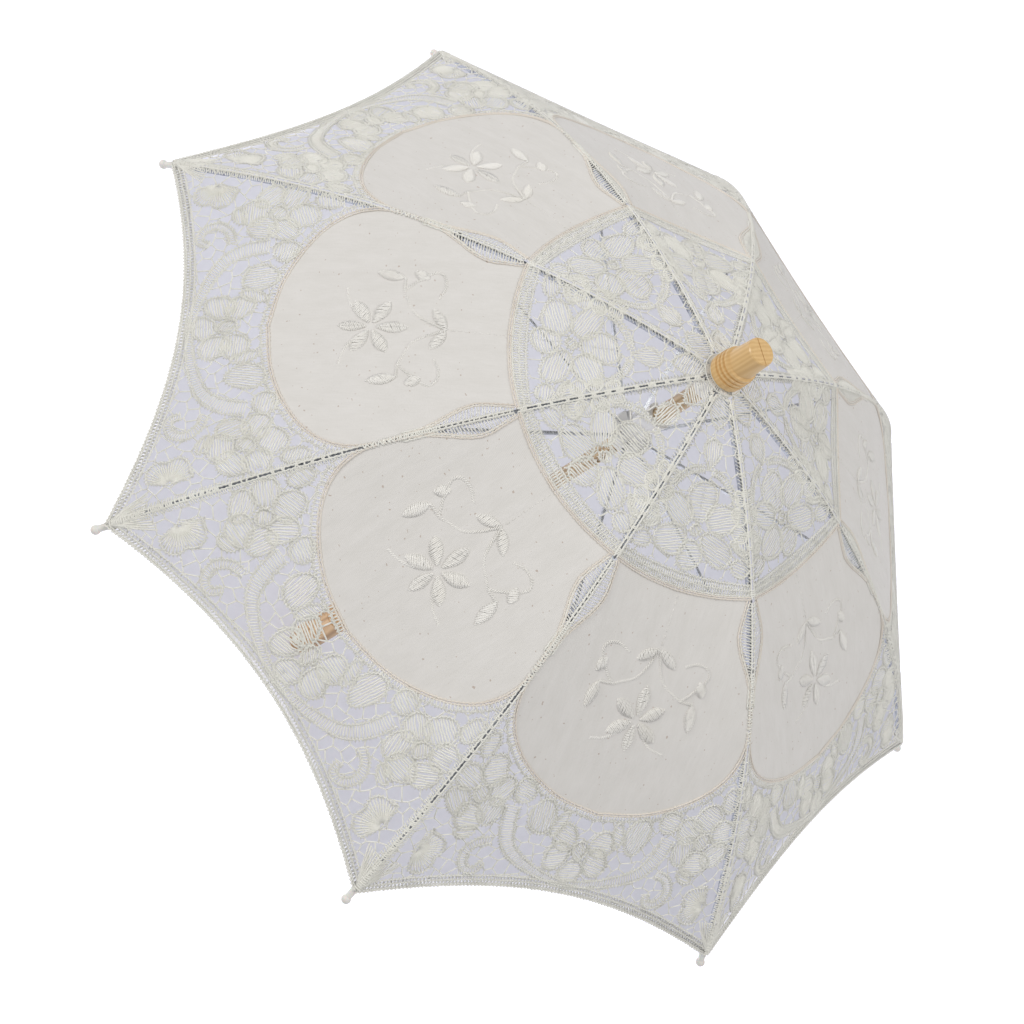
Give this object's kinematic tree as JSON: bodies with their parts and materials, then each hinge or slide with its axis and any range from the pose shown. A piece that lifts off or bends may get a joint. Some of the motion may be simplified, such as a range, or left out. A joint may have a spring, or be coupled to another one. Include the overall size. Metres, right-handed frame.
{
  "type": "lace parasol",
  "caption": "Open lace parasol with a domed cotton-and-lace cover, steel ribs and stretchers, a sliding runner, and turned wooden shaft, handle and finial.",
  "frame": {"origin": "on the shaft's axis, at the middle of the handle's straight grip", "axes": "+Z along the shaft towards the finial, +X towards the first rib, so that ribs stand at every 45 degrees about Z"},
  "size_m": [0.4878, 0.4878, 0.4645],
  "materials": {
    "shaft_wood": "bare turned dowel",
    "handle_wood": "thinly varnished turned wood",
    "finial_wood": "thinly varnished pale turned wood",
    "lace": "off-white lace thread",
    "cotton": "plain weave ivory cotton",
    "piping": "cream cord",
    "white_plastic": "moulded, satin",
    "runner_plastic": "moulded, satin",
    "rib_steel": "rolled channel",
    "rivet_steel": "bright",
    "steel_wire": "drawn wire",
    "black_steel": "blackened spring steel"
  },
  "bodies": {
    "shaft_body": {"shaft": "shaft_wood", "handle": "handle_wood", "finial": "finial_wood", "canopy_crown": "lace", "top_notch": "white_plastic", "notch_wire": "steel_wire", "notch_pin": "steel_wire", "catch_pin": "steel_wire"},
    "runner_body": {"runner": "runner_plastic", "runner_wire": "steel_wire"},
    "catch_body": {"catch": "black_steel"},
    "rib_1_body": {"rib_1": "rib_steel", "tip_1": "white_plastic", "rivet_1": "rivet_steel", "canopy_1": "lace"},
    "stretcher_1_body": {"stretcher_1": "rib_steel"},
    "rib_2_body": {"rib_2": "rib_steel", "tip_2": "white_plastic", "rivet_2": "rivet_steel", "canopy_2": "lace"},
    "stretcher_2_body": {"stretcher_2": "rib_steel"},
    "rib_3_body": {"rib_3": "rib_steel", "tip_3": "white_plastic", "rivet_3": "rivet_steel", "canopy_3": "lace"},
    "stretcher_3_body": {"stretcher_3": "rib_steel"},
    "rib_4_body": {"rib_4": "rib_steel", "tip_4": "white_plastic", "rivet_4": "rivet_steel", "canopy_4": "lace"},
    "stretcher_4_body": {"stretcher_4": "rib_steel"},
    "rib_5_body": {"rib_5": "rib_steel", "tip_5": "white_plastic", "rivet_5": "rivet_steel", "canopy_5": "lace"},
    "stretcher_5_body": {"stretcher_5": "rib_steel"},
    "rib_6_body": {"rib_6": "rib_steel", "tip_6": "white_plastic", "rivet_6": "rivet_steel", "canopy_6": "lace"},
    "stretcher_6_body": {"stretcher_6": "rib_steel"},
    "rib_7_body": {"rib_7": "rib_steel", "tip_7": "white_plastic", "rivet_7": "rivet_steel", "canopy_7": "lace"},
    "stretcher_7_body": {"stretcher_7": "rib_steel"},
    "rib_8_body": {"rib_8": "rib_steel", "tip_8": "white_plastic", "rivet_8": "rivet_steel", "canopy_8": "lace"},
    "stretcher_8_body": {"stretcher_8": "rib_steel"}
  },
  "joints": [
    {"name": "runner_slide", "type": "slide", "parent": "shaft_body", "child": "runner_body", "axis": [0, 0, -1], "range_m": [0, 0.1636], "deforming": ["canopy_1", "canopy_2", "canopy_3", "canopy_4", "canopy_5", "canopy_6", "canopy_7", "canopy_8"]},
    {"name": "catch_press", "type": "hinge", "parent": "shaft_body", "child": "catch_body", "pos_m": [0, 0, 0.3071], "axis": [-0.3827, -0.9239, 0], "range_deg": [0, 14], "stiffness_Nm_per_rad": 0.02},
    {"name": "rib_1_hinge", "type": "hinge", "parent": "shaft_body", "child": "rib_1_body", "pos_m": [0.007, 0, 0.4], "axis": [0, 1, 0], "range_deg": [0, 55.05]},
    {"name": "stretcher_1_hinge", "type": "hinge", "parent": "rib_1_body", "child": "stretcher_1_body", "pos_m": [0.12378, 0, 0.36312], "axis": [0, -1, 0], "range_deg": [0, 113.88]},
    {"name": "rib_2_hinge", "type": "hinge", "parent": "shaft_body", "child": "rib_2_body", "pos_m": [0.00495, 0.00495, 0.4], "axis": [-0.7071, 0.7071, 0], "range_deg": [0, 55.05]},
    {"name": "stretcher_2_hinge", "type": "hinge", "parent": "rib_2_body", "child": "stretcher_2_body", "pos_m": [0.08753, 0.08753, 0.36312], "axis": [0.7071, -0.7071, 0], "range_deg": [0, 113.88]},
    {"name": "rib_3_hinge", "type": "hinge", "parent": "shaft_body", "child": "rib_3_body", "pos_m": [0, 0.007, 0.4], "axis": [-1, 0, 0], "range_deg": [0, 55.05]},
    {"name": "stretcher_3_hinge", "type": "hinge", "parent": "rib_3_body", "child": "stretcher_3_body", "pos_m": [0, 0.12378, 0.36312], "axis": [1, 0, 0], "range_deg": [0, 113.88]},
    {"name": "rib_4_hinge", "type": "hinge", "parent": "shaft_body", "child": "rib_4_body", "pos_m": [-0.00495, 0.00495, 0.4], "axis": [-0.7071, -0.7071, 0], "range_deg": [0, 55.05]},
    {"name": "stretcher_4_hinge", "type": "hinge", "parent": "rib_4_body", "child": "stretcher_4_body", "pos_m": [-0.08753, 0.08753, 0.36312], "axis": [0.7071, 0.7071, 0], "range_deg": [0, 113.88]},
    {"name": "rib_5_hinge", "type": "hinge", "parent": "shaft_body", "child": "rib_5_body", "pos_m": [-0.007, 0, 0.4], "axis": [0, -1, 0], "range_deg": [0, 55.05]},
    {"name": "stretcher_5_hinge", "type": "hinge", "parent": "rib_5_body", "child": "stretcher_5_body", "pos_m": [-0.12378, 0, 0.36312], "axis": [0, 1, 0], "range_deg": [0, 113.88]},
    {"name": "rib_6_hinge", "type": "hinge", "parent": "shaft_body", "child": "rib_6_body", "pos_m": [-0.00495, -0.00495, 0.4], "axis": [0.7071, -0.7071, 0], "range_deg": [0, 55.05]},
    {"name": "stretcher_6_hinge", "type": "hinge", "parent": "rib_6_body", "child": "stretcher_6_body", "pos_m": [-0.08753, -0.08753, 0.36312], "axis": [-0.7071, 0.7071, 0], "range_deg": [0, 113.88]},
    {"name": "rib_7_hinge", "type": "hinge", "parent": "shaft_body", "child": "rib_7_body", "pos_m": [0, -0.007, 0.4], "axis": [1, 0, 0], "range_deg": [0, 55.05]},
    {"name": "stretcher_7_hinge", "type": "hinge", "parent": "rib_7_body", "child": "stretcher_7_body", "pos_m": [0, -0.12378, 0.36312], "axis": [-1, 0, 0], "range_deg": [0, 113.88]},
    {"name": "rib_8_hinge", "type": "hinge", "parent": "shaft_body", "child": "rib_8_body", "pos_m": [0.00495, -0.00495, 0.4], "axis": [0.7071, 0.7071, 0], "range_deg": [0, 55.05]},
    {"name": "stretcher_8_hinge", "type": "hinge", "parent": "rib_8_body", "child": "stretcher_8_body", "pos_m": [0.08753, -0.08753, 0.36312], "axis": [-0.7071, -0.7071, 0], "range_deg": [0, 113.88]}
  ],
  "couplings": [
    {"joint": "rib_1_hinge", "follows": "runner_slide", "rad_per_m": 5.8675},
    {"joint": "stretcher_1_hinge", "follows": "runner_slide", "rad_per_m": 12.144},
    {"joint": "rib_2_hinge", "follows": "runner_slide", "rad_per_m": 5.8675},
    {"joint": "stretcher_2_hinge", "follows": "runner_slide", "rad_per_m": 12.144},
    {"joint": "rib_3_hinge", "follows": "runner_slide", "rad_per_m": 5.8675},
    {"joint": "stretcher_3_hinge", "follows": "runner_slide", "rad_per_m": 12.144},
    {"joint": "rib_4_hinge", "follows": "runner_slide", "rad_per_m": 5.8675},
    {"joint": "stretcher_4_hinge", "follows": "runner_slide", "rad_per_m": 12.144},
    {"joint": "rib_5_hinge", "follows": "runner_slide", "rad_per_m": 5.8675},
    {"joint": "stretcher_5_hinge", "follows": "runner_slide", "rad_per_m": 12.144},
    {"joint": "rib_6_hinge", "follows": "runner_slide", "rad_per_m": 5.8675},
    {"joint": "stretcher_6_hinge", "follows": "runner_slide", "rad_per_m": 12.144},
    {"joint": "rib_7_hinge", "follows": "runner_slide", "rad_per_m": 5.8675},
    {"joint": "stretcher_7_hinge", "follows": "runner_slide", "rad_per_m": 12.144},
    {"joint": "rib_8_hinge", "follows": "runner_slide", "rad_per_m": 5.8675},
    {"joint": "stretcher_8_hinge", "follows": "runner_slide", "rad_per_m": 12.144}
  ]
}
